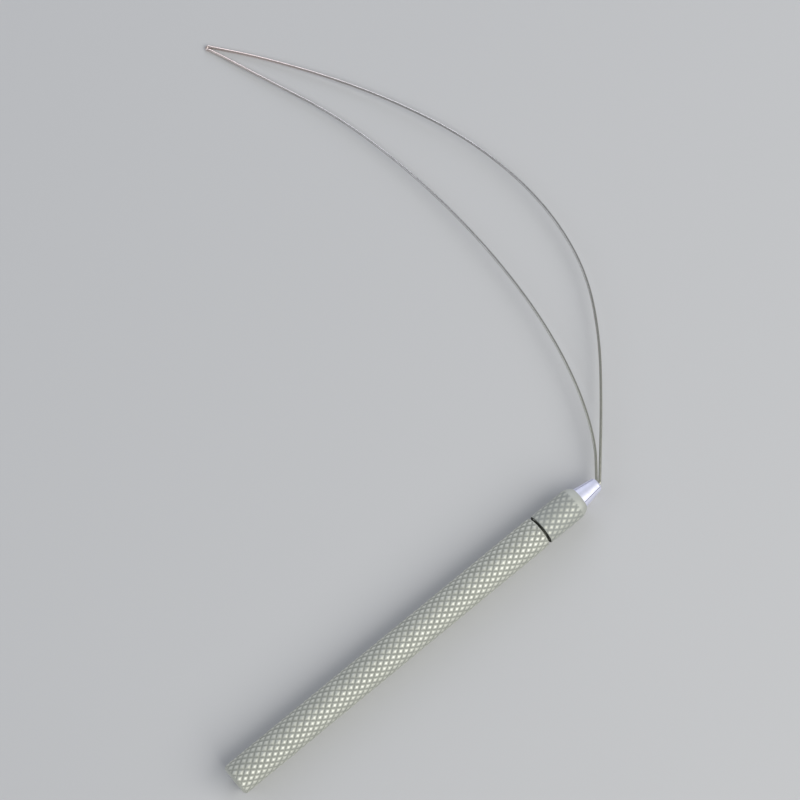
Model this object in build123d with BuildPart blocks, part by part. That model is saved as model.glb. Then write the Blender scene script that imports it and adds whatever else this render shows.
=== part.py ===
"""Loop trimming tool: a round knurled handle whose screw chuck grips a long bowed loop of spring wire.

Frame: the origin is the centre of the handle's flat back face, +X runs along the handle to the chuck's nose,
the loop bows out sideways towards +Y, and +Z is up. The tool lies on a table: the handle's underside and the
loop's far tip touch the plane z = -handle_radius.

It comes apart into four pieces: the barrel, the chuck nut that screws on its front, the slotted collet that the
nut squeezes, and the loop, one length of wire doubled back on itself with both tails in the collet.
"""

from build123d import *
import os
from math import asin, cos, degrees, pi, radians, sin, tan

os.makedirs("parts", exist_ok=True)

# --- Driving dimensions, in millimetres and degrees -------------------------------------------------------
handle_radius = 3.5
barrel_length = 80.0
end_chamfer = 0.5
front_round = 0.6

thread_radius = 2.75
thread_relief_depth = 0.35
thread_relief_width = 0.5
spigot_length = 7.0
spigot_chamfer = 0.25
running_clearance = 0.05

collet_body_radius = 1.75
collet_head_radius = 2.4
collet_tip_radius = 1.45
collet_taper = 0.17  # radius lost per millimetre towards the tip
collet_tip_chamfer = 0.3
collet_mouth_chamfer = 0.25
collet_back = 75.0
collet_tip = 95.8
collet_bore_radius = 0.67
slot_width = 0.15
slot_back = 79.5

nut_gap = 0.5  # between the barrel's shoulder and the nut, as tightened on the wire
nut_radius = 3.42
nut_grip_length = 7.9
nut_front = 90.8
nut_rim_radius = 2.5
nut_mouth_chamfer = 0.3

tail_bore_radius = 0.9
tail_bore_depth = 7.0

wire_radius = 0.3
wire_pair_offset = 0.35  # each tail's centre from the collet's axis
tail_end = 73.0
kink_back = 95.5
kink_radius = 1.0
kink_turn = 47.0

# The loop's two legs as corners of a smooth bent line, from the chuck to the tip, in the loop's own flat plane:
# first along the handle, then square to it.
near_leg = [(101.6, 7.4), (106.9, 19.5), (110.5, 34.5), (112.0, 51.0), (111.8, 67.5), (110.1, 84.0),
            (106.8, 100.0), (100.6, 116.5)]
far_leg = [(107.9, 12.7), (117.2, 24.0), (124.2, 36.0), (127.4, 49.0), (127.6, 62.5), (125.1, 77.0),
           (119.8, 91.5), (112.6, 106.0), (103.4, 120.7)]
tip_centre = (95.8, 130.2)
tip_heading = 125.0
tip_bend_radius = 0.4
pinch_length = 0.8

# --- Sizes that follow from them --------------------------------------------------------------------------
spigot_front = barrel_length + spigot_length
nut_back = barrel_length + nut_gap
nut_shoulder = nut_back + nut_grip_length
nut_bore_radius = thread_radius + running_clearance
collet_shoulder = spigot_front + running_clearance
collet_bore_in_barrel = collet_body_radius + running_clearance
collet_cone_back = collet_tip - (collet_head_radius - collet_tip_radius) / collet_taper


def collet_cone_radius(x):
    """The collet's outer radius on its cone at a place along the handle."""
    return collet_tip_radius + (collet_tip - x) * collet_taper


nut_mouth_radius = collet_cone_radius(nut_front) + running_clearance
nut_cone_back = nut_front - (nut_bore_radius - nut_mouth_radius) / collet_taper


# --- Barrel: the knurled handle with its threaded spigot and the collet's bore ----------------------------
with BuildPart() as barrel:
    with BuildSketch(Plane.YZ):
        Circle(handle_radius)
    extrude(amount=barrel_length)
    chamfer(barrel.faces().sort_by(Axis.X)[0].edges(), end_chamfer)
    fillet(barrel.faces().sort_by(Axis.X)[-1].edges(), front_round)
    with BuildSketch(Plane.YZ.offset(barrel_length)):
        Circle(thread_radius)
    extrude(amount=spigot_length)
    chamfer(barrel.faces().sort_by(Axis.X)[-1].edges(), spigot_chamfer)
    # the thread's run-out groove at the shoulder
    with BuildSketch(Plane.YZ.offset(barrel_length)):
        Circle(thread_radius)
        Circle(thread_radius - thread_relief_depth, mode=Mode.SUBTRACT)
    extrude(amount=thread_relief_width, mode=Mode.SUBTRACT)
    # the collet's bore, with a narrower drilling behind it for the wire's tails
    with Locations(Plane.YZ.offset(spigot_front)):
        CounterBoreHole(
            radius=tail_bore_radius,
            counter_bore_radius=collet_bore_in_barrel,
            counter_bore_depth=spigot_front - collet_back + nut_gap,
            depth=spigot_front - collet_back + tail_bore_depth,
        )
barrel.part.label = "barrel"
export_step(barrel.part, "parts/barrel.step")


# --- Chuck nut: knurled outside, threaded bore, and the cone that closes the collet -----------------------
with BuildPart() as chuck_nut:
    with BuildSketch(Plane.XY):
        with BuildLine():
            Polyline(
                (nut_front, nut_rim_radius),
                (nut_front, nut_mouth_radius),
                (nut_cone_back, nut_bore_radius),
                (nut_back + nut_mouth_chamfer, nut_bore_radius),
                (nut_back, nut_bore_radius + nut_mouth_chamfer),
                (nut_back, nut_radius),
                (nut_shoulder, nut_radius),
            )
            TangentArc((nut_shoulder, nut_radius), (nut_front, nut_rim_radius), tangent=(1, 0))
        make_face()
    revolve(axis=Axis.X)
chuck_nut.part.label = "chuck_nut"
export_step(chuck_nut.part, "parts/chuck_nut.step")


# --- Collet: a tail in the barrel's bore, a head and cone in the nut, and two crossing slots ---------------
with BuildPart() as collet:
    with BuildSketch(Plane.XY):
        with BuildLine():
            Polyline(
                (collet_back, 0),
                (collet_back, collet_body_radius),
                (collet_shoulder, collet_body_radius),
                (collet_shoulder, collet_head_radius),
                (collet_cone_back, collet_head_radius),
                (collet_tip, collet_tip_radius),
                (collet_tip, 0),
                close=True,
            )
        make_face()
    revolve(axis=Axis.X)
    chamfer(collet.faces().sort_by(Axis.X)[-1].edges(), collet_tip_chamfer)
    with Locations(Plane.YZ.offset(collet_tip)):
        Hole(collet_bore_radius)
    mouth_edge = collet.faces().sort_by(Axis.X)[-1].edges().sort_by(SortBy.LENGTH)[0]
    chamfer(mouth_edge, collet_mouth_chamfer)
    # the slots stand at 45 degrees to the table, and leave four jaws joined at the back
    for slot_angle in (45, 135):
        with BuildSketch(Plane.YZ.offset(slot_back)):
            Rectangle(2 * handle_radius, slot_width, rotation=slot_angle)
        extrude(amount=collet_tip - slot_back, mode=Mode.SUBTRACT)
collet.part.label = "collet"
export_step(collet.part, "parts/collet.step")


# --- Wire loop: one round wire along straight runs joined by tangent arcs ----------------------------------
def along(heading, distance):
    """A step of that distance in a direction given in degrees from the handle's axis."""
    return Vector(cos(radians(heading)), sin(radians(heading))) * distance


def kink_corner(side):
    """The corner where one tail turns out of the chuck: side is 1 on the bend's inside, -1 on its outside."""
    bend = kink_radius - side * wire_pair_offset
    return Vector(kink_back + bend * tan(radians(kink_turn / 2)), side * wire_pair_offset)


def tip_corner(side, behind):
    """A point of the pinched tip on one wire, some way behind the tip's own centre."""
    return Vector(*tip_centre) + along(tip_heading + 90 * side, tip_bend_radius) + along(tip_heading, -behind)


def leg_corners(leg):
    """One leg's corners, each with no set radius."""
    return [(Vector(*corner), None) for corner in leg]


near_side, far_side = 1, -1
# Two fillets of the full half-width would leave nothing between them, so the hairpin's are a hair smaller.
hairpin_radius = 0.99 * tip_bend_radius
# Every point of the wire's route, with its bend radius where that is set.
route = [
    (Vector(tail_end, wire_pair_offset), None),
    (kink_corner(near_side), kink_radius - wire_pair_offset),
    *leg_corners(near_leg),
    (tip_corner(near_side, pinch_length), None),
    (tip_corner(near_side, -tip_bend_radius), hairpin_radius),
    (tip_corner(far_side, -tip_bend_radius), hairpin_radius),
    (tip_corner(far_side, pinch_length), None),
    *leg_corners(reversed(far_leg)),
    (kink_corner(far_side), kink_radius + wire_pair_offset),
    (Vector(tail_end, -wire_pair_offset), None),
]


def corner_radius(before, corner, after):
    """The bend at a corner: its set radius, or else the largest easy arc that its two runs allow."""
    place, set_radius = corner
    if set_radius:
        return set_radius
    incoming, outgoing = place - before[0], after[0] - place
    half_turn = radians(incoming.get_angle(outgoing)) / 2
    return 0.45 * min(incoming.length, outgoing.length) / tan(half_turn)


corner_radii = [corner_radius(*route[i - 1:i + 2]) for i in range(1, len(route) - 1)]
# the loop's plane turns about the handle's axis until the tip's underside meets the table
loop_droop = degrees(asin((handle_radius - wire_radius) / (tip_centre[1] + tip_bend_radius)))
loop_plane = Plane.XY.rotated((-loop_droop, 0, 0))

with BuildPart() as wire_loop:
    with BuildLine(loop_plane) as wire_line:
        FilletPolyline(*[(point.X, point.Y) for point, _ in route], radius=corner_radii)
    with BuildSketch(Plane(wire_line.wire() @ 0, z_dir=wire_line.wire() % 0)):
        Circle(wire_radius)
    sweep()
wire_loop.part.label = "wire_loop"
export_step(wire_loop.part, "parts/wire_loop.step")

wire_length = wire_line.wire().length
section_times_length = pi * wire_radius**2 * wire_length
print("bend radii:", [round(radius, 1) for radius in corner_radii])
print(f"wire length {wire_length:.1f} mm, loop plane down {loop_droop:.2f} degrees")
print(f"swept volume {wire_loop.part.volume:.2f} mm3, section times length {section_times_length:.2f} mm3")
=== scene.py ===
"""Looks of the wire loop threading tool: a knurled handle, its screw chuck and a bowed loop of spring wire.

The row frame has its origin at the centre of the handle's back face, +X along the handle to the chuck's nose,
+Y to the side the loop bows out to, and +Z up. Sizes in the classes are millimetres. MeshDraft turns them
into metres when it makes a mesh. Around the handle, angles start at +Y and grow towards +Z.
"""

import logging
import math
from dataclasses import dataclass, field, replace
from enum import Enum
from typing import Any, Union

import bpy
import numpy as np
from mathutils import Matrix, Vector


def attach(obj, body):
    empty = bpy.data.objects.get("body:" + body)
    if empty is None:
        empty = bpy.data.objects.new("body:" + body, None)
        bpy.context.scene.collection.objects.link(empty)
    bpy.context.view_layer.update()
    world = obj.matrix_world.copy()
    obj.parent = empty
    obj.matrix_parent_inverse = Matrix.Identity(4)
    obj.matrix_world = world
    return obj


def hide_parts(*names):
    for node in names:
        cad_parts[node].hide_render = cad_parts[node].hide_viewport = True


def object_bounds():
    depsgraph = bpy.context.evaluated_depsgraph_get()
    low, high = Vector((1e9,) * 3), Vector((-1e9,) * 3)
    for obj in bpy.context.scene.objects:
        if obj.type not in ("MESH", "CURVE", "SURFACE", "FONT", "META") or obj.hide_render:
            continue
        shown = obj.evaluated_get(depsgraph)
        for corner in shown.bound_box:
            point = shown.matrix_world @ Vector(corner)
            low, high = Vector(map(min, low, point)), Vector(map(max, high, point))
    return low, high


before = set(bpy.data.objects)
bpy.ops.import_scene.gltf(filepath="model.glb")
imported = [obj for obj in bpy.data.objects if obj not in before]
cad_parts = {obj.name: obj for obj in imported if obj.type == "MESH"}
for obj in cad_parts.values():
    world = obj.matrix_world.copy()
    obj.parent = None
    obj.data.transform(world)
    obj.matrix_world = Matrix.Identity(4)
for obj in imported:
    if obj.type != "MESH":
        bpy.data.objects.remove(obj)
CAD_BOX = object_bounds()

LOG = logging.getLogger("loop_tool")
MM = 0.001
TURN = 2.0 * math.pi
SAME_PLACE = 1e-6

Colour = tuple[float, float, float]


class Body(Enum):
    """The bodies that pieces ride on."""

    HANDLE = "handle"
    CHUCK = "chuck"
    NUT = "nut"
    LOOP = "loop"


class Slot(Enum):
    """The material slot names, one for each piece; nothing here reads them."""

    KNURLED_ALUMINIUM = "knurled_aluminium"
    NUT_ALUMINIUM = "nut_aluminium"
    NICKEL_PLATE = "nickel_plate"
    SPRING_WIRE = "spring_wire"


class Side(Enum):
    """Which of the loop's two wires: the one inside its bow or the one outside."""

    INNER = 1
    OUTER = -1


class Mark(Enum):
    """The point attributes that finishes read from a mesh."""

    CREST = "crest"
    TURNED = "turned"
    FEED = "feed"
    GAP_SHADE = "gap_shade"
    DRAWN = "drawn"
    NEAR_TIP = "near_tip"
    NEAR_CHUCK = "near_chuck"


# --- Meshes ---


@dataclass
class MeshDraft:
    """Gathers grids of points and the triangles between them, and makes one mesh of them."""

    points: list[np.ndarray] = field(default_factory=list)
    triangles: list[np.ndarray] = field(default_factory=list)
    marks: dict[Mark, list[np.ndarray]] = field(default_factory=dict)
    count: int = 0

    def add_points(self, grid: np.ndarray, marks: dict[Mark, np.ndarray]) -> np.ndarray:
        """Adds a grid of points. A row whose points all lie in one place, such as a pole, becomes one point.

        Args:
            grid: Points in millimetres, rows by columns by 3.
            marks: For each attribute, an array that fits the grid's rows and columns, with a last 3 for a
                vector.

        Returns:
            The index of each of the grid's points, rows by columns.
        """
        rows, columns = grid.shape[:2]
        pole = np.ptp(grid, axis=1).max(axis=1) < SAME_PLACE
        keep = np.ones((rows, columns), bool)
        keep[pole, 1:] = False
        index = np.cumsum(keep.ravel()).reshape(rows, columns) - 1
        index[pole] = index[pole][:, :1]
        self.points.append(grid[keep])
        for mark, values in marks.items():
            shape = grid.shape if values.ndim == 3 else (rows, columns)
            self.marks.setdefault(mark, []).append(np.broadcast_to(values, shape)[keep])
        index += self.count
        self.count += int(keep.sum())
        return index

    def join(
        self,
        index: np.ndarray,
        round_columns: bool = False,
        round_rows: bool = False,
        falling: Union[np.ndarray, None] = None,
    ) -> None:
        """Spans a grid of point indices with two triangles in each cell, facing column step cross row step.

        Args:
            index: Point indices, rows by columns.
            round_columns: Whether the last column joins the first.
            round_rows: Whether the last row joins the first.
            falling: True for a cell whose diagonal goes from its second column back to its first as the row
                grows.
        """
        if round_columns:
            index = np.concatenate([index, index[:, :1]], axis=1)
        if round_rows:
            index = np.concatenate([index, index[:1]], axis=0)
        a, b, c, d = index[:-1, :-1], index[:-1, 1:], index[1:, 1:], index[1:, :-1]
        bend = np.zeros(a.shape, bool) if falling is None else falling
        first = np.stack([a, b, np.where(bend, d, c)], axis=-1).reshape(-1, 3)
        second = np.stack([np.where(bend, b, a), c, d], axis=-1).reshape(-1, 3)
        both = np.concatenate([first, second])
        real = (both[:, 0] != both[:, 1]) & (both[:, 1] != both[:, 2]) & (both[:, 2] != both[:, 0])
        self.triangles.append(both[real])

    def make(self, name: str, sharp_deg: float) -> bpy.types.Object:
        """Makes the mesh object, in metres, smooth but for edges sharper than an angle.

        Args:
            name: The object's name.
            sharp_deg: The angle between two faces from which their edge stays sharp.

        Returns:
            The object, linked to the scene, at the origin.
        """
        mesh = bpy.data.meshes.new(name)
        places = np.concatenate(self.points) * MM
        corners = np.concatenate(self.triangles).astype(np.int32)
        mesh.vertices.add(len(places))
        mesh.vertices.foreach_set("co", places.astype(np.float32).ravel())
        mesh.loops.add(corners.size)
        mesh.loops.foreach_set("vertex_index", corners.ravel())
        mesh.polygons.add(len(corners))
        mesh.polygons.foreach_set("loop_start", np.arange(len(corners), dtype=np.int32) * 3)
        mesh.update(calc_edges=True)
        for mark, parts in self.marks.items():
            values = np.concatenate(parts).astype(np.float32)
            kind, key = ("FLOAT_VECTOR", "vector") if values.ndim == 2 else ("FLOAT", "value")
            mesh.attributes.new(mark.value, kind, "POINT").data.foreach_set(key, values.ravel())
        mesh.polygons.foreach_set("use_smooth", np.ones(len(corners), bool))
        mesh.set_sharp_from_angle(angle=math.radians(sharp_deg))
        piece = bpy.data.objects.new(name, mesh)
        bpy.context.scene.collection.objects.link(piece)
        return piece


@dataclass(frozen=True)
class Band:
    """One stretch of a turned piece's surface: a radius for each place along the axis and each angle.

    Attributes:
        along: Places along the axis, one for each row.
        radius: Radii, rows by angles.
        crest: How near the surface stands to its full height, 0 at a groove's bottom and 1 on a crest.
        turned: 1 where a lathe tool left its rings, 0 where the surface is knurled.
        gap_shade: How much painted shade darkens the surface, as it does in gaps and threads.
    """

    along: np.ndarray
    radius: np.ndarray
    crest: np.ndarray
    turned: float
    gap_shade: float = 0.0

    @staticmethod
    def plain(profile: list[tuple[float, float]], angles: np.ndarray, gap_shade: float = 0.0) -> "Band":
        """A band whose radius is the same all round, from (place, radius) pairs."""
        along, radius = np.array(profile, float).T
        full = np.repeat(radius[:, None], len(angles), axis=1)
        return Band(along, full, crest=np.ones_like(full), turned=1.0, gap_shade=gap_shade)


def lathe(draft: MeshDraft, bands: list[Band], angles: np.ndarray, closed: bool, pattern: Any = None) -> None:
    """Adds a turned surface: a point at place x, angle t and radius r is (x, r cos t, r sin t).

    The rows go along +X outside and back along -X in a bore, which makes every face point out of the metal.

    Args:
        draft: The mesh that gets the surface.
        bands: The surface's bands, in the order of the profile.
        angles: The angles round the axis, one for each column.
        closed: Whether the profile comes back to its start, as a ring's does.
        pattern: The knurl that says which way the cells' diagonals go, or None.
    """
    along = np.concatenate([band.along for band in bands])
    radius = np.concatenate([band.radius for band in bands])
    crest = np.concatenate([band.crest for band in bands])
    turned = np.concatenate([np.full(len(band.along), band.turned) for band in bands])
    gap_shade = np.concatenate([np.full(len(band.along), band.gap_shade) for band in bands])
    mean = radius.mean(axis=1)
    feed = np.concatenate([[0.0], np.cumsum(np.hypot(np.diff(along), np.diff(mean)))])
    place = np.repeat(along[:, None], len(angles), axis=1)
    grid = np.stack([place, radius * np.cos(angles), radius * np.sin(angles)], axis=-1)
    marks = {
        Mark.CREST: crest,
        Mark.TURNED: turned[:, None],
        Mark.FEED: feed[:, None],
        Mark.GAP_SHADE: gap_shade[:, None],
    }
    index = draft.add_points(grid, marks)
    falling = None
    if pattern is not None:
        next_angle = angles + TURN / len(angles) / 2
        middles = (along + np.roll(along, -1)) / 2
        falling = pattern.falling(middles[:, None], next_angle[None, :])
        falling = falling if closed else falling[:-1]
    draft.join(index, round_columns=True, round_rows=closed, falling=falling)


@dataclass(frozen=True)
class Knurl:
    """A diamond knurl: two families of V grooves that wind round a cylinder in opposite directions.

    Attributes:
        starts: Grooves of one family round the cylinder.
        pitch: Distance along the axis from a groove to the next of its family.
        depth: How deep a groove is cut.
        half_width: Half of a groove's mouth, as a share of the distance between grooves.
        steps: Rows and columns of points from a groove to the next.
        end_margin: How near to an end a row may lie, as a share of a step.
        trimmed_crest: The crest height given to what a chamfer or a round has turned down.
    """

    starts: int = 14
    pitch: float = 1.905
    depth: float = 0.18
    half_width: float = 0.38
    steps: int = 8
    end_margin: float = 0.2
    trimmed_crest: float = 0.75

    def angles(self) -> np.ndarray:
        """The columns' angles, a whole number of steps from groove to groove."""
        columns = self.starts * self.steps
        return np.arange(columns) * (TURN / columns)

    def places(self, start: float, end: float) -> np.ndarray:
        """The rows' places between two ends: every point of the groove lattice, and both ends."""
        step = self.pitch / self.steps
        lattice = np.arange(math.ceil(start / step), math.floor(end / step) + 1) * step
        margin = self.end_margin * step
        inside = lattice[(lattice > start + margin) & (lattice < end - margin)]
        return np.concatenate([[start], inside, [end]])

    def distances(self, x: np.ndarray, angle: np.ndarray) -> tuple[np.ndarray, np.ndarray]:
        """How far a place is from the nearest groove of each family, as a share of the groove spacing.

        A family's phase is starts times the share of a turn, plus or minus x over the pitch. Its grooves lie
        where the phase is a whole number.
        """
        turn = self.starts * angle / TURN
        right, left = turn + x / self.pitch, turn - x / self.pitch
        return np.abs(right - np.round(right)), np.abs(left - np.round(left))

    def groove(self, x: np.ndarray, angle: np.ndarray) -> np.ndarray:
        """The depth of the deeper groove at a place, 1 at a groove's bottom and 0 on a crest."""
        nearest = np.minimum(*self.distances(x, angle))
        return np.clip(1.0 - nearest / self.half_width, 0.0, 1.0)

    def falling(self, x: np.ndarray, angle: np.ndarray) -> np.ndarray:
        """Whether the nearer groove at a place turns back as it goes along the axis."""
        right, left = self.distances(x, angle)
        return right < left

    def band(self, along: np.ndarray, envelope: np.ndarray, full_radius: float) -> Band:
        """A knurled band, cut from the full radius and then turned down to an envelope.

        Args:
            along: Places along the axis.
            envelope: The largest radius at each place, where a chamfer or a round takes off the knurl's ends.
            full_radius: The radius over the crests.

        Returns:
            The band, with its crest heights.
        """
        angles = self.angles()
        groove = self.groove(along[:, None], angles[None, :])
        knurled = full_radius - self.depth * groove
        radius = np.minimum(knurled, envelope[:, None])
        height = np.clip(1.0 - (full_radius - radius) / self.depth, 0.0, 1.0)
        trimmed = knurled > envelope[:, None] + SAME_PLACE
        return Band(along, radius, np.where(trimmed, self.trimmed_crest, height), turned=0.0)


@dataclass(frozen=True)
class ScrewThread:
    """A right-hand thread with flat crests and roots.

    Attributes:
        major: Radius over the crests.
        minor: Radius at the roots.
        pitch: Advance in one turn.
        rows_per_pitch: Rows of points from a crest to the next.
    """

    major: float = 2.75
    minor: float = 2.44
    pitch: float = 0.5
    rows_per_pitch: int = 10

    def band(self, start: float, end: float, angles: np.ndarray, grown: float) -> Band:
        """The thread between two places, bigger in radius by a clearance.

        The phase is x over the pitch less the share of a turn. The radius rises from the root to the crest
        and falls back as the phase goes from one whole number to the next, cut flat at both.
        """
        rows = round(abs(end - start) / self.pitch * self.rows_per_pitch) + 1
        along = np.linspace(start, end, rows)
        phase = along[:, None] / self.pitch - angles[None, :] / TURN
        wave = 1.0 - np.abs(2.0 * (phase - np.floor(phase)) - 1.0)
        height = np.clip(1.3 * wave - 0.15, 0.0, 1.0)
        radius = self.minor + (self.major - self.minor) * height + grown
        # Painted shade: the whole thread is marked to come out somewhat darker.
        return Band(along, radius, crest=0.45 + 0.55 * height, turned=0.4, gap_shade=0.35)


# --- Shaders ---


@dataclass(frozen=True)
class Shade:
    """A shader socket that can stand in a sum. Each operator adds a Math node."""

    graph: "Graph"
    socket: bpy.types.NodeSocket

    def _math(self, operation: str, *values: Any) -> "Shade":
        """Adds a Math node of that operation on these values."""
        return self.graph.node("ShaderNodeMath", {"operation": operation}, dict(enumerate(values)))

    def __add__(self, other: Any) -> "Shade":
        """This plus the other."""
        return self._math("ADD", self, other)

    def __radd__(self, other: Any) -> "Shade":
        """The other plus this."""
        return self._math("ADD", other, self)

    def __sub__(self, other: Any) -> "Shade":
        """This less the other."""
        return self._math("SUBTRACT", self, other)

    def __rsub__(self, other: Any) -> "Shade":
        """The other less this."""
        return self._math("SUBTRACT", other, self)

    def __mul__(self, other: Any) -> "Shade":
        """This times the other."""
        return self._math("MULTIPLY", self, other)

    def __rmul__(self, other: Any) -> "Shade":
        """The other times this."""
        return self._math("MULTIPLY", other, self)

    def sine(self) -> "Shade":
        """The sine of this, in radians."""
        return self._math("SINE", self)

    def smooth(self, low: float, high: float) -> "Shade":
        """0 below low, 1 above high, and a smooth rise between them."""
        inputs = {"Value": self, "From Min": low, "From Max": high}
        return self.graph.node("ShaderNodeMapRange", {"interpolation_type": "SMOOTHSTEP"}, inputs)


class Graph:
    """One material's nodes, made through a single method."""

    def __init__(self, name: str) -> None:
        """Starts a material of that name with an empty tree.

        Args:
            name: The material's name.
        """
        self.material = bpy.data.materials.new(name)
        self.material.use_nodes = True
        self.tree = self.material.node_tree
        self.tree.nodes.clear()

    def node(self, kind: str, settings: dict[str, Any], inputs: dict[Any, Any], output: Any = 0) -> Shade:
        """Adds a node: its settings first, then its sockets' values and links.

        Args:
            kind: The node's type.
            settings: Properties of the node, by name.
            inputs: A number, colour or Shade for each input, by the socket's name or number.
            output: The name or number of the output that is wanted.

        Returns:
            That output.
        """
        made = self.tree.nodes.new(kind)
        for name, value in settings.items():
            setattr(made, name, value)
        for key, value in inputs.items():
            if isinstance(value, Shade):
                self.tree.links.new(value.socket, made.inputs[key])
            else:
                made.inputs[key].default_value = value
        return Shade(self, made.outputs[output] if len(made.outputs) else None)

    def mark(self, mark: Mark, output: str = "Fac") -> Shade:
        """A point attribute of the mesh."""
        return self.node("ShaderNodeAttribute", {"attribute_name": mark.value}, {}, output)

    def place(self) -> Shade:
        """The point's place in the row frame."""
        return self.node("ShaderNodeTexCoord", {}, {}, "Object")

    def noise(self, vector: Shade, scale: float, detail: float = 3.0, roughness: float = 0.55) -> Shade:
        """Noise from 0 to 1 on a vector; scale is in bumps per unit of it."""
        inputs = {"Vector": vector, "Scale": scale, "Detail": detail, "Roughness": roughness}
        return self.node("ShaderNodeTexNoise", {"noise_dimensions": "3D"}, inputs, "Fac")

    def tint(self, factor: Any, low: Any, high: Any) -> Shade:
        """The colour low where factor is 0 and high where it is 1."""
        ends = {0: factor, 6: self._opaque(low), 7: self._opaque(high)}
        return self.node("ShaderNodeMix", {"data_type": "RGBA"}, ends, 2)

    def bump(self, height: Shade, depth: float, strength: float) -> Shade:
        """The normal of a surface raised by height times depth, in metres."""
        inputs = {"Strength": strength, "Distance": depth, "Height": height}
        return self.node("ShaderNodeBump", {}, inputs, "Normal")

    def finish(self, **inputs: Any) -> bpy.types.Material:
        """Ends the tree in one Principled shader.

        Args:
            **inputs: Its sockets' values and links, with _ for each space in a name.

        Returns:
            The material.
        """
        named = {key.replace("_", " "): self._opaque(value) for key, value in inputs.items()}
        surface = self.node("ShaderNodeBsdfPrincipled", {}, named, "BSDF")
        self.node("ShaderNodeOutputMaterial", {}, {"Surface": surface})
        return self.material

    @staticmethod
    def _opaque(value: Any) -> Any:
        """A colour of three numbers with its alpha; anything else as it is."""
        return (*value, 1.0) if isinstance(value, tuple) and len(value) == 3 else value


# --- Finishes ---


@dataclass(frozen=True)
class SatinAluminium:
    """Knurled aluminium: crests rubbed bright by hand, painted shade in the grooves, gaps and threads, and
    lathe rings on turned faces.

    Attributes:
        name: The material's name.
        groove: Colour at the grooves' bottoms, painted shade.
        flank: Colour on the grooves' sides.
        crest: Colour on the crests.
        mottle: How much broad patches vary in brightness, 0 to 1.
        roughness: Roughness of the flanks.
        burnish: How much smoother the crests are.
        gap_shade_colour: Colour of the painted shade in gaps and threads.
        ring_pitch: Distance between lathe rings on turned faces, in millimetres.
        grain_scale: Specks of fine grain in a metre.
        patch_scale: Broad patches in a metre.
        relief: Height of the grain and the rings, in millimetres.
        shade: Brightness of the dark patches, as a share of the flank's.
    """

    name: str
    groove: Colour
    flank: Colour
    crest: Colour
    mottle: float
    roughness: float
    burnish: float
    gap_shade_colour: Colour = (0.10, 0.105, 0.09)
    ring_pitch: float = 0.11
    grain_scale: float = 9000.0
    patch_scale: float = 420.0
    relief: float = 0.012
    shade: float = 0.72

    def material(self) -> bpy.types.Material:
        """Builds the material from the mesh's crest, turned, feed and gap_shade attributes and its place."""
        graph = Graph(self.name)
        place = graph.place()
        crest, turned = graph.mark(Mark.CREST), graph.mark(Mark.TURNED)
        grain = graph.noise(place, self.grain_scale, 4.0, 0.7)
        patches = graph.noise(place, self.patch_scale, 3.0)
        # Painted shade: the grooves' bottoms take the darker groove colour and the rest the flank colour,
        # broken up by patches.
        unshaded = (crest * 0.9 + (patches - 0.5) * 0.5).smooth(0.05, 0.75)
        worn = (crest + (grain - 0.5) * 0.35).smooth(0.72, 1.0)
        colour = graph.tint(unshaded, self.groove, self.flank)
        colour = graph.tint(worn, colour, self.crest)
        shadow = tuple(self.shade * part for part in self.flank)
        colour = graph.tint((0.5 - patches) * self.mottle + (0.5 - grain) * 0.25, colour, shadow)
        # Painted shade: marked gaps, threads and bores darken towards a near-black colour and turn a little
        # rougher.
        gap_shade = (graph.mark(Mark.GAP_SHADE) + (patches - 0.5) * 0.3).smooth(0.15, 0.9)
        colour = graph.tint(gap_shade, colour, self.gap_shade_colour)
        rings = (graph.mark(Mark.FEED) * (TURN / self.ring_pitch) + patches * 3.0).sine() * 0.5 + 0.5
        rough = self.roughness + (1.0 - unshaded) * 0.14 - worn * self.burnish
        rough = rough + (grain - 0.5) * 0.16 - turned * 0.06 + gap_shade * 0.1
        height = grain * 0.6 + rings * turned * 0.9
        return graph.finish(
            Base_Color=colour,
            Metallic=1.0,
            Roughness=rough,
            Normal=graph.bump(height, self.relief * MM, 0.8),
        )


@dataclass(frozen=True)
class NickelPlate:
    """Satin nickel over turned steel: cool white, with faint rings and a soft haze of handling marks.

    Attributes:
        name: The material's name.
        bright: Colour of the clean plate.
        hazed: Colour where handling has dulled it.
        roughness: Roughness of the clean plate.
        ring_pitch: Distance between the lathe rings under the plate, in millimetres.
        haze_scale: Patches of haze in a metre.
        speck_scale: Specks in a metre.
        relief: Height of the rings and the haze, in millimetres.
    """

    name: str
    bright: Colour
    hazed: Colour
    roughness: float
    ring_pitch: float = 0.16
    haze_scale: float = 900.0
    speck_scale: float = 6500.0
    relief: float = 0.004

    def material(self) -> bpy.types.Material:
        """Builds the material from the mesh's feed attribute and the object's own place."""
        graph = Graph(self.name)
        place = graph.place()
        haze = graph.noise(place, self.haze_scale, 4.0, 0.6).smooth(0.45, 0.8)
        specks = graph.noise(place, self.speck_scale, 2.0).smooth(0.62, 0.78)
        rings = (graph.mark(Mark.FEED) * (TURN / self.ring_pitch)).sine() * 0.5 + 0.5
        colour = graph.tint(haze * 0.7 + specks * 0.25, self.bright, self.hazed)
        rough = self.roughness + haze * 0.12 + specks * 0.08
        return graph.finish(
            Base_Color=colour,
            Metallic=1.0,
            Roughness=rough,
            Normal=graph.bump(rings * 0.5 + haze * 0.5, self.relief * MM, 0.6),
        )


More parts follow.
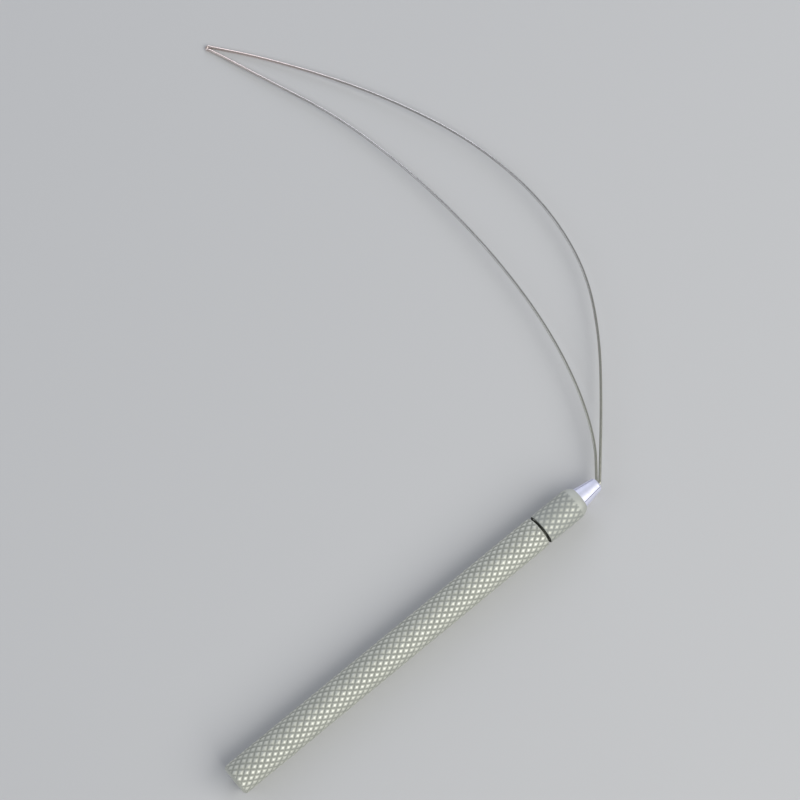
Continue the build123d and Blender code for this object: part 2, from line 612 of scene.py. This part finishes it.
@dataclass(frozen=True)
class DrawnWire:
    """Spring wire with the die's fine lines along it, a warm straw tint towards its tip, dull at the chuck.

    Attributes:
        name: The material's name.
        bright: Colour of the clean wire.
        lined: Colour in the die lines.
        straw: Colour of the warm tint at the tip.
        greyed: Colour of the wire near the chuck, dulled by the fingers.
        roughness: Roughness of the clean wire.
        line_scale: Die lines across the wire's radius.
        patch_scale: Broad patches across the wire's radius.
        relief: Height of the die lines, in millimetres.
    """

    name: str
    bright: Colour
    lined: Colour
    straw: Colour
    greyed: Colour
    roughness: float
    line_scale: float = 9.0
    patch_scale: float = 1.6
    relief: float = 0.006

    def material(self) -> bpy.types.Material:
        """Builds the material from the wire's own drawn, near_tip and near_chuck attributes."""
        graph = Graph(self.name)
        drawn = graph.mark(Mark.DRAWN, "Vector")
        lines = graph.noise(drawn, self.line_scale, 5.0, 0.65)
        patches = graph.noise(drawn, self.patch_scale, 3.0)
        colour = graph.tint(lines.smooth(0.35, 0.7), self.lined, self.bright)
        chuck = graph.mark(Mark.NEAR_CHUCK) * (patches * 0.8 + 0.5)
        colour = graph.tint(chuck, colour, self.greyed)
        tip = graph.mark(Mark.NEAR_TIP) * (patches * 0.8 + 0.5)
        colour = graph.tint(tip, colour, self.straw)
        rough = self.roughness + (0.6 - lines) * 0.22 + patches * 0.08 + chuck * 0.06
        return graph.finish(
            Base_Color=colour,
            Metallic=1.0,
            Roughness=rough,
            Normal=graph.bump(lines, self.relief * MM, 0.7),
        )


@dataclass(frozen=True)
class PalePaper:
    """The floor's matte off-white, a little darker in broad soft clouds."""

    name: str = "pale_floor"
    colour: Colour = (0.57, 0.573, 0.58)
    cloud_scale: float = 6.0
    cloud_shade: float = 0.97

    def material(self) -> bpy.types.Material:
        """Builds the material, with a faint unevenness in its colour."""
        graph = Graph(self.name)
        cloud = graph.noise(graph.place(), self.cloud_scale, 2.0)
        darker = tuple(self.cloud_shade * part for part in self.colour)
        return graph.finish(Base_Color=graph.tint(cloud, self.colour, darker), Roughness=0.9)


BARREL_FINISH = SatinAluminium(
    name="satin_aluminium_barrel",
    groove=(0.46, 0.47, 0.43),
    flank=(0.67, 0.68, 0.62),
    crest=(0.75, 0.76, 0.69),
    mottle=0.35,
    roughness=0.64,
    burnish=0.08,
)
NUT_FINISH = SatinAluminium(
    name="satin_aluminium_nut",
    groove=(0.48, 0.495, 0.47),
    flank=(0.59, 0.605, 0.565),
    crest=(0.67, 0.68, 0.61),
    mottle=0.50,
    roughness=0.72,
    burnish=0.08,
)
NICKEL_FINISH = NickelPlate(
    name="polished_nickel_collet",
    bright=(0.77, 0.78, 0.90),
    hazed=(0.73, 0.74, 0.85),
    roughness=0.62,
)
WIRE_FINISH = DrawnWire(
    name="drawn_spring_wire",
    bright=(0.72, 0.70, 0.68),
    lined=(0.42, 0.41, 0.40),
    straw=(0.79, 0.67, 0.62),
    greyed=(0.54, 0.54, 0.46),
    roughness=0.15,
)


# --- Pieces ---


@dataclass
class Piece:
    """What every sub-assembly has: its name, the body it rides on, its CAD node, its slot and its finish."""

    name: str
    body: Body
    node: str
    slot: Slot
    finish: Any
    sharp_deg: float

    def shape(self, draft: MeshDraft) -> None:
        """Adds the piece's surfaces to a draft; each sub-assembly has its own."""
        raise NotImplementedError

    def make(self) -> bpy.types.Object:
        """Makes the piece, dresses it, hangs it on its body's empty and hides the CAD node it replaces.

        Returns:
            The finished object.
        """
        draft = MeshDraft()
        self.shape(draft)
        piece = draft.make(self.name, self.sharp_deg)
        piece.data.materials.append(self.finish.material())
        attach(piece, self.body.value)
        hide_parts(self.node)
        return piece


@dataclass
class Barrel(Piece):
    """The handle: knurled from end to end, with a threaded spigot at its front and the collet's bore."""

    name: str = "barrel_knurled"
    body: Body = Body.HANDLE
    node: str = "barrel"
    slot: Slot = Slot.KNURLED_ALUMINIUM
    finish: Any = BARREL_FINISH
    sharp_deg: float = 34.0
    radius: float = 3.5
    length: float = 80.0
    end_chamfer: float = 0.5
    front_round: float = 0.6
    relief_front: float = 80.5
    relief_radius: float = 2.4
    spigot_front: float = 87.0
    spigot_chamfer: float = 0.25
    collet_bore: float = 1.8
    collet_bore_back: float = 74.5
    tail_bore: float = 0.9
    tail_bore_back: float = 68.0
    back_rings: tuple[float, ...] = (0.0, 0.35, 1.2, 2.1, 2.92)
    shoulder_radius: float = 2.85
    relief_corner: float = 0.08
    mouth_chamfer: float = 0.12
    bore_middle: float = 81.0
    chamfer_rows: int = 6
    round_rows: int = 9
    knurl: Knurl = field(default_factory=Knurl)
    thread: ScrewThread = field(default_factory=ScrewThread)

    def envelope(self, along: np.ndarray) -> np.ndarray:
        """The largest radius at each place: a 45 degree chamfer behind and a quarter round in front."""
        chamfer = self.radius - self.end_chamfer + along
        into_round = np.clip(along - (self.length - self.front_round), 0.0, self.front_round)
        front = self.radius - self.front_round + np.sqrt(self.front_round**2 - into_round**2)
        return np.minimum(np.minimum(chamfer, front), self.radius)

    def shape(self, draft: MeshDraft) -> None:
        """Adds the whole handle as one turned surface, from its back face round to the bottom of its bore."""
        angles = self.knurl.angles()
        back = np.linspace(0.0, self.end_chamfer, self.chamfer_rows)
        turn = np.radians(np.linspace(0.0, 90.0, self.round_rows))
        front = self.length - self.front_round + self.front_round * np.sin(turn)
        middle = self.knurl.places(back[-1], front[0])
        along = np.concatenate([back[:-1], middle, front[1:]])
        thread = self.thread.band(self.relief_front, self.spigot_front, angles, 0.0)
        cap = self.thread.major - self.spigot_chamfer + (self.spigot_front - thread.along)
        thread = replace(thread, radius=np.minimum(thread.radius, cap[:, None]))
        back_face = [(0.0, ring) for ring in self.back_rings]
        shoulder = [
            (self.length, self.shoulder_radius),
            (self.length, self.relief_radius + self.relief_corner),
            (self.length + self.relief_corner, self.relief_radius),
            (self.relief_front, self.relief_radius),
        ]
        bore = [
            (self.spigot_front, self.collet_bore + self.mouth_chamfer),
            (self.spigot_front - self.mouth_chamfer, self.collet_bore),
            (self.bore_middle, self.collet_bore),
            (self.collet_bore_back, self.collet_bore),
            (self.collet_bore_back, self.tail_bore),
            (self.tail_bore_back, self.tail_bore),
            (self.tail_bore_back, 0.0),
        ]
        # Painted shade: the gap at the shoulder and the bore are marked to come out darker.
        bands = [
            Band.plain(back_face, angles),
            self.knurl.band(along, self.envelope(along), self.radius),
            Band.plain(shoulder, angles, gap_shade=1.0),
            thread,
            Band.plain(bore, angles, gap_shade=0.6),
        ]
        lathe(draft, bands, angles, closed=False, pattern=self.knurl)


@dataclass
class ChuckNut(Piece):
    """The nut: a shallower knurl, a round from its shoulder to its rim, and a threaded bore with a cone."""

    name: str = "chuck_nut_knurled"
    body: Body = Body.NUT
    node: str = "chuck_nut"
    slot: Slot = Slot.NUT_ALUMINIUM
    finish: Any = NUT_FINISH
    sharp_deg: float = 34.0
    radius: float = 3.42
    back: float = 80.5
    shoulder: float = 88.4
    front: float = 90.8
    rim_radius: float = 2.5
    mouth_radius: float = 2.35
    cone_back: float = 88.153
    bore: float = 2.8
    back_chamfer: float = 0.3
    edge_chamfer: float = 0.12
    thread_back: float = 80.8
    thread_front: float = 87.2
    clearance: float = 0.05
    rim_edge: float = 0.06
    mouth_edge: float = 0.05
    cone_middle: tuple[float, float] = (89.8, 2.522)
    thread_relief: float = 0.12
    back_land: float = 0.15
    arc_rows: int = 15
    knurl: Knurl = field(default_factory=lambda: Knurl(depth=0.075))
    thread: ScrewThread = field(default_factory=ScrewThread)

    def envelope(self, along: np.ndarray) -> np.ndarray:
        """The largest radius at each place: a small chamfer behind, and an arc from the shoulder to the rim.

        The arc leaves the cylinder smoothly, so its centre is straight under the shoulder.
        """
        run, drop = self.front - self.shoulder, self.radius - self.rim_radius
        bend = (run**2 + drop**2) / (2.0 * drop)
        into = np.clip(along - self.shoulder, 0.0, run)
        arc = self.radius - bend + np.sqrt(bend**2 - into**2)
        return np.minimum(arc, self.radius - self.edge_chamfer + (along - self.back))

    def shape(self, draft: MeshDraft) -> None:
        """Adds the nut as one closed ring: outside, rim, cone, bore, thread and back face."""
        angles = self.knurl.angles()
        straight = self.knurl.places(self.back + self.edge_chamfer, self.shoulder)
        run = self.front - self.shoulder
        arc = self.shoulder + run * np.sin(np.radians(np.linspace(0.0, 90.0, self.arc_rows)))[1:]
        along = np.concatenate([[self.back, self.back + self.edge_chamfer / 2.0], straight, arc])
        thread = self.thread.band(self.thread_front, self.thread_back, angles, self.clearance)
        mouth = [
            (self.front, self.rim_radius - self.rim_edge),
            (self.front, self.mouth_radius + self.mouth_edge),
            (self.front - self.rim_edge, self.mouth_radius),
            self.cone_middle,
            (self.cone_back, self.bore),
            (self.thread_front + self.thread_relief, self.bore),
        ]
        back_radius = self.bore + self.back_chamfer
        back = [(self.back, back_radius), (self.back, back_radius + self.back_land)]
        # Painted shade: the back face, which meets the barrel's shoulder, is marked to come out darker.
        bands = [
            self.knurl.band(along, self.envelope(along), self.radius),
            Band.plain(mouth, angles),
            thread,
            Band.plain(back, angles, gap_shade=1.0),
        ]
        lathe(draft, bands, angles, closed=True, pattern=self.knurl)


@dataclass
class Collet(Piece):
    """The collet: a sleeve whose front is parted into four jaws by two crossing slots."""

    name: str = "collet_jaws"
    body: Body = Body.CHUCK
    node: str = "collet"
    slot: Slot = Slot.NICKEL_PLATE
    finish: Any = NICKEL_FINISH
    sharp_deg: float = 28.0
    back: float = 75.0
    slot_back: float = 79.5
    slot_width: float = 0.15
    head_back: float = 87.05
    cone_back: float = 90.212
    tip: float = 95.8
    body_radius: float = 1.75
    head_radius: float = 2.4
    taper: float = 0.17
    tip_radius: float = 1.45
    bore: float = 0.67
    body_edge: float = 0.12
    edge: float = 0.1
    nose_back: float = 95.504
    nose: tuple[tuple[float, float], ...] = ((95.55, 1.446), (95.65, 1.345), (95.74, 1.235), (95.8, 1.15))
    mouth: tuple[tuple[float, float], ...] = ((95.65, 0.77), (95.74, 0.86), (95.8, 0.92))
    outside_feed: float = 8.0
    inside_feed: float = 30.0
    jaws: int = 4
    columns: int = 17
    cone_rows: int = 8

    def angles(self, radius: np.ndarray) -> np.ndarray:
        """The angles of the jaws' columns at each radius, rows by jaws by columns.

        A slot has flat parallel walls, so a jaw starts and ends half the slot's width from the slot's middle,
        which is an angle of the arcsine of that half over the radius.
        """
        share = TURN / self.jaws
        gap = np.arcsin(self.slot_width / 2.0 / radius)[:, None, None]
        first = (np.arange(self.jaws) + 0.5)[None, :, None] * share
        step = np.linspace(0.0, 1.0, self.columns)[None, None, :]
        return first + gap + step * (share - 2.0 * gap)

    def rows(
        self, profile: list[tuple[float, float]], feed_start: float
    ) -> tuple[np.ndarray, dict[Mark, np.ndarray]]:
        """Points and marks of rows of the collet's surface, from (place, radius) pairs."""
        along, radius = np.array(profile, float).T
        angle = self.angles(radius).reshape(len(profile), -1)
        place = np.repeat(along[:, None], angle.shape[1], axis=1)
        grid = np.stack([place, radius[:, None] * np.cos(angle), radius[:, None] * np.sin(angle)], axis=-1)
        feed = feed_start + np.concatenate([[0.0], np.cumsum(np.hypot(np.diff(along), np.diff(radius)))])
        return grid, {Mark.FEED: feed[:, None]}

    def shape(self, draft: MeshDraft) -> None:
        """Adds the sleeve, then each jaw's skin, its slot walls and the slots' floors, all sharing edges."""
        sleeve = [
            (self.slot_back, self.bore),
            (self.back + self.edge, self.bore),
            (self.back, self.bore + self.edge),
            (self.back, self.body_radius - self.body_edge),
            (self.back + self.body_edge, self.body_radius),
            (self.slot_back, self.body_radius),
        ]
        ring = draft.add_points(*self.rows(sleeve, 0.0))
        draft.join(ring, round_columns=True)
        cone = np.linspace(self.cone_back, self.nose_back, self.cone_rows)
        outside = [
            (self.head_back, self.body_radius),
            (self.head_back, self.head_radius - self.edge),
            (self.head_back + self.edge, self.head_radius),
            *((x, self.tip_radius + (self.tip - x) * self.taper) for x in cone),
            *self.nose,
        ]
        mouth_back = self.mouth[0][0]
        inside = {x: self.bore for x, _ in outside if x < mouth_back} | dict(self.mouth)
        inner = sorted(inside.items(), reverse=True)
        outer_index = draft.add_points(*self.rows(outside, self.outside_feed))
        inner_index = draft.add_points(*self.rows(inner, self.inside_feed))
        skin = np.concatenate([ring[-1:], outer_index, inner_index, ring[:1]])
        places = [x for x, _ in inner]
        pairs = np.concatenate([ring[:1], inner_index[[places.index(x) for x, _ in outside]]])
        faces = np.concatenate([ring[-1:], outer_index])
        last = self.columns - 1
        for jaw in range(self.jaws):
            start = jaw * self.columns
            end, after = start + last, (start + self.columns) % (self.jaws * self.columns)
            draft.join(skin[:, start : end + 1])
            draft.join(np.stack([faces[:, end], pairs[:, end]], axis=1))
            draft.join(np.stack([pairs[:, start], faces[:, start]], axis=1))
            draft.join(np.stack([ring[-1, [end, after]], ring[0, [end, after]]]))


@dataclass
class WireLoop(Piece):
    """One length of wire, doubled at the tip, bowed into a slim loop, with both tails in the collet."""

    name: str = "wire_loop_bent"
    body: Body = Body.LOOP
    node: str = "wire_loop"
    slot: Slot = Slot.SPRING_WIRE
    finish: Any = WIRE_FINISH
    sharp_deg: float = 50.0
    radius: float = 0.3
    sides: int = 20
    row_step: float = 0.8
    tail_end: float = 73.0
    tail_offset: float = 0.35
    kink_back: float = 95.5
    kink_radius: float = 1.0
    kink_deg: float = 47.0
    tip_centre: tuple[float, float] = (95.8, 130.2)
    tip_heading_deg: float = 125.0
    tip_bend: float = 0.4
    pinch: float = 0.8
    floor_drop: float = 3.2
    tint_reach: float = 22.0
    grey_reach: float = 45.0
    line_stretch: float = 30.0
    tail_rows: int = 19
    kink_rows: int = 13
    hairpin_rows: int = 19
    end_round: float = 0.04
    end_places: tuple[float, ...] = (0.0, 0.0, 0.25)
    end_radii: tuple[float, ...] = (0.0, 0.6, 0.9)
    inner_leg: tuple[tuple[float, float], ...] = (
        (101.6, 7.4), (106.9, 19.5), (110.5, 34.5), (112.0, 51.0),
        (111.8, 67.5), (110.1, 84.0), (106.8, 100.0), (100.6, 116.5),
    )
    outer_leg: tuple[tuple[float, float], ...] = (
        (107.9, 12.7), (117.2, 24.0), (124.2, 36.0), (127.4, 49.0), (127.6, 62.5),
        (125.1, 77.0), (119.8, 91.5), (112.6, 106.0), (103.4, 120.7),
    )

    def kink(self, side: Side) -> np.ndarray:
        """The arc by which a tail turns out of the chuck: both tails turn about the same centre.

        Args:
            side: Which of the two wires.

        Returns:
            Points of the arc, in the loop's plane, from the chuck outwards.
        """
        bend = self.kink_radius - side.value * self.tail_offset
        turn = np.radians(np.linspace(0.0, self.kink_deg, self.kink_rows))
        across = self.kink_radius - bend * np.cos(turn)
        return np.stack([self.kink_back + bend * np.sin(turn), across], axis=-1)

    def tip(self) -> np.ndarray:
        """The hairpin at the tip: a half circle about the tip's centre, from the inner wire to the outer."""
        heading = math.radians(self.tip_heading_deg)
        turn = heading + np.radians(np.linspace(90.0, -90.0, self.hairpin_rows))
        return np.array(self.tip_centre) + self.tip_bend * np.stack([np.cos(turn), np.sin(turn)], axis=-1)

    def pinch_point(self, side: Side) -> np.ndarray:
        """Where a wire comes parallel to its neighbour, a little behind the tip."""
        heading = math.radians(self.tip_heading_deg)
        forward = np.array([math.cos(heading), math.sin(heading)])
        across = side.value * self.tip_bend * np.array([-forward[1], forward[0]])
        return np.array(self.tip_centre) + across - self.pinch * forward

    def leg(self, side: Side) -> np.ndarray:
        """One leg's line, from the kink to the hairpin.

        Each bend is a quadratic curve from the middle of one run to the middle of the next, pulled towards
        the corner between them: (1-t) squared times the first middle, 2t(1-t) times the corner, t squared
        times the second middle.

        Args:
            side: Which of the two wires.

        Returns:
            Points of the leg, in the loop's plane, evenly spread within each bend.
        """
        arc, tip = self.kink(side), self.tip()
        hairpin = tip[0] if side is Side.INNER else tip[-1]
        given = self.inner_leg if side is Side.INNER else self.outer_leg
        corners = np.array([arc[-1], *given, self.pinch_point(side), hairpin])
        middles = (corners[:-1] + corners[1:]) / 2.0
        starts, bends, ends = middles[:-1], corners[1:-1], middles[1:]
        steps = int(np.ceil(np.linalg.norm(ends - starts, axis=1).max() / self.row_step))
        t = (np.arange(steps) / steps)[None, :, None]
        curve = (1 - t) ** 2 * starts[:, None] + 2 * t * (1 - t) * bends[:, None] + t**2 * ends[:, None]
        return np.concatenate([arc, curve.reshape(-1, 2), ends[-1:]])

    def slope(self) -> tuple[float, float]:
        """The sine and cosine of the angle by which the loop's plane drops."""
        sine = self.floor_drop / (self.tip_centre[1] + self.tip_bend)
        return sine, math.sqrt(1.0 - sine**2)

    def line(self) -> np.ndarray:
        """The wire's whole centre line in the row frame, from the inner tail's end to the outer tail's end.

        The loop's plane holds the handle's axis and drops until the wire at the tip lies on the floor.
        """
        tails = np.linspace(self.tail_end, self.kink_back, self.tail_rows)[:-1]
        inner_tail = np.stack([tails, np.full_like(tails, self.tail_offset)], axis=-1)
        outer_tail = inner_tail[::-1] * np.array([1.0, -1.0])
        flat = np.concatenate(
            [inner_tail, self.leg(Side.INNER), self.tip(), self.leg(Side.OUTER)[::-1], outer_tail]
        )
        sine, cosine = self.slope()
        return np.stack([flat[:, 0], flat[:, 1] * cosine, -flat[:, 1] * sine], axis=-1)

    def shape(self, draft: MeshDraft) -> None:
        """Adds the wire: a circle carried along its line, square to it, each end closed by a small round.

        A point at angle t on the circle is the line's point plus the radius times cos t along the side and
        sin t along the plane's normal.
        """
        line = self.line()
        step = np.gradient(line, axis=0)
        ahead = step / np.linalg.norm(step, axis=1, keepdims=True)
        normal = np.array([0.0, *self.slope()])
        side = np.cross(normal, ahead)
        length = np.concatenate([[0.0], np.cumsum(np.linalg.norm(np.diff(line, axis=0), axis=1))])
        radius = np.full(len(line), self.radius)
        ease = np.array(self.end_radii)
        into = self.end_round * np.array(self.end_places)[:, None]
        rows = np.concatenate([[0] * len(ease), np.arange(1, len(line) - 1), [-1] * len(ease)])
        line = np.concatenate([line[:1] + into * ahead[0], line[1:-1], line[-1:] - into[::-1] * ahead[-1]])
        side, length = side[rows], length[rows]
        radius = np.concatenate([radius[0] * ease, radius[1:-1], radius[-1] * ease[::-1]])
        turn = np.arange(self.sides) * (TURN / self.sides)
        ring = np.cos(turn)[None, :, None] * side[:, None] + np.sin(turn)[None, :, None] * normal
        grid = line[:, None] + radius[:, None, None] * ring
        middle = length[-1] / 2.0
        along = np.repeat(length[:, None], self.sides, axis=1)
        round_wire = [np.broadcast_to(wave, along.shape) for wave in (np.cos(turn), np.sin(turn))]
        drawn = np.stack([along / self.line_stretch, *round_wire], axis=-1)
        from_tip = np.abs(along - middle)
        from_chuck = middle - from_tip - (self.kink_back - self.tail_end)
        marks = {
            Mark.DRAWN: drawn,
            Mark.NEAR_TIP: np.exp(-((from_tip / self.tint_reach) ** 2)),
            Mark.NEAR_CHUCK: np.exp(-((np.clip(from_chuck, 0.0, None) / self.grey_reach) ** 2)),
        }
        draft.join(draft.add_points(grid, marks), round_columns=True)


# --- Studio ---


@dataclass(frozen=True)
class SoftBox:
    """A soft rectangular lamp that looks at the tool.

    Attributes:
        name: The lamp's name.
        place: Where it stands from the tool's centre, in metres.
        size: Its width and height, in metres.
        power: Its power in watts.
        colour: Its light's colour.
    """

    name: str
    place: tuple[float, float, float]
    size: tuple[float, float]
    power: float
    colour: Colour = (1.0, 1.0, 1.0)

    def make(self, centre: Vector) -> None:
        """Adds the lamp, turned towards the tool's centre."""
        light = bpy.data.lights.new(self.name, "AREA")
        light.shape = "RECTANGLE"
        light.size, light.size_y = self.size
        light.energy = self.power
        light.color = self.colour
        lamp = bpy.data.objects.new(self.name, light)
        lamp.location = centre + Vector(self.place)
        lamp.rotation_euler = (-Vector(self.place)).to_track_quat("-Z", "Y").to_euler()
        bpy.context.scene.collection.objects.link(lamp)


@dataclass(frozen=True)
class Studio:
    """The floor, the lamps, the plain surroundings and the camera.

    Attributes:
        floor_size: The floor's width, in metres.
        eye: The camera's place, in metres.
        aim: Where the camera looks, as shares of the tool's length, width and height.
        up: The direction that is up in the picture.
        lens: The camera's focal length, in millimetres.
        ambient: Brightness of the surroundings.
        sky: Colour of the surroundings.
        lamps: The soft lamps.
    """

    floor_size: float = 6.0
    eye: tuple[float, float, float] = (-0.0117, -0.0830, 0.4969)
    aim: tuple[float, float, float] = (0.595, 0.324, 0.5)
    up: tuple[float, float, float] = (0.632, 0.7586, 0.1564)
    lens: float = 112.0
    ambient: float = 0.35
    sky: Colour = (0.92, 0.95, 1.0)
    lamps: tuple[SoftBox, ...] = (
        SoftBox("key_lamp", (0.20, -0.63, 0.56), (1.00, 0.70), 6.4, (1.0, 0.99, 0.95)),
        SoftBox("fill_lamp", (-0.55, 0.35, 0.50), (0.50, 0.50), 0.9, (0.84, 0.90, 1.0)),
        SoftBox("nose_lamp", (0.58, 0.58, 0.32), (0.60, 0.45), 2.4, (0.88, 0.90, 1.0)),
    )

    def make_floor(self, level: float) -> bpy.types.Object:
        """Adds the floor, a flat grid of points at a level."""
        edge = np.linspace(-0.5, 0.5, 5) * self.floor_size / MM
        across, away = np.meshgrid(edge, edge)
        draft = MeshDraft()
        grid = np.stack([across, away, np.full_like(across, level / MM)], axis=-1)
        draft.join(draft.add_points(grid, {}).T)
        floor = draft.make("studio_floor", 30.0)
        floor.data.materials.append(PalePaper().material())
        return floor

    def make_surroundings(self) -> None:
        """Adds the plain, even surroundings."""
        world = bpy.data.worlds.new("studio")
        world.use_nodes = True
        background = world.node_tree.nodes["Background"]
        background.inputs["Color"].default_value = (*self.sky, 1.0)
        background.inputs["Strength"].default_value = self.ambient
        bpy.context.scene.world = world
        bpy.context.scene.view_settings.view_transform = "Standard"

    def make_camera(self, low: Vector, high: Vector) -> None:
        """Adds the camera at its place, looking into the tool's box, whose corners these are."""
        camera = bpy.data.objects.new("camera", bpy.data.cameras.new("camera"))
        camera.data.lens = self.lens
        camera.data.clip_start, camera.data.clip_end = 0.01, 20.0
        target = Vector(a + share * (b - a) for a, b, share in zip(low, high, self.aim))
        ahead = (target - Vector(self.eye)).normalized()
        right = ahead.cross(Vector(self.up)).normalized()
        turned = Matrix((right, right.cross(ahead), -ahead)).transposed().to_4x4()
        camera.matrix_world = Matrix.Translation(Vector(self.eye)) @ turned
        bpy.context.scene.collection.objects.link(camera)
        bpy.context.scene.camera = camera

    def make(self, low: Vector, high: Vector) -> None:
        """Adds everything round the tool, which stands between two corners."""
        centre = (low + high) / 2.0
        self.make_floor(low.z)
        self.make_surroundings()
        for lamp in self.lamps:
            lamp.make(centre)
        self.make_camera(low, high)


def main() -> None:
    """Makes every piece in order and reports each one's triangles, then the studio round the CAD box."""
    logging.basicConfig(level=logging.INFO, format="%(name)s: %(message)s")
    for sub_assembly in (Barrel(), ChuckNut(), Collet(), WireLoop()):
        piece = sub_assembly.make()
        LOG.info("%s on %s: %d triangles", piece.name, sub_assembly.body.value, len(piece.data.polygons))
    Studio().make(*CAD_BOX)


if __name__ == "__main__":
    main()
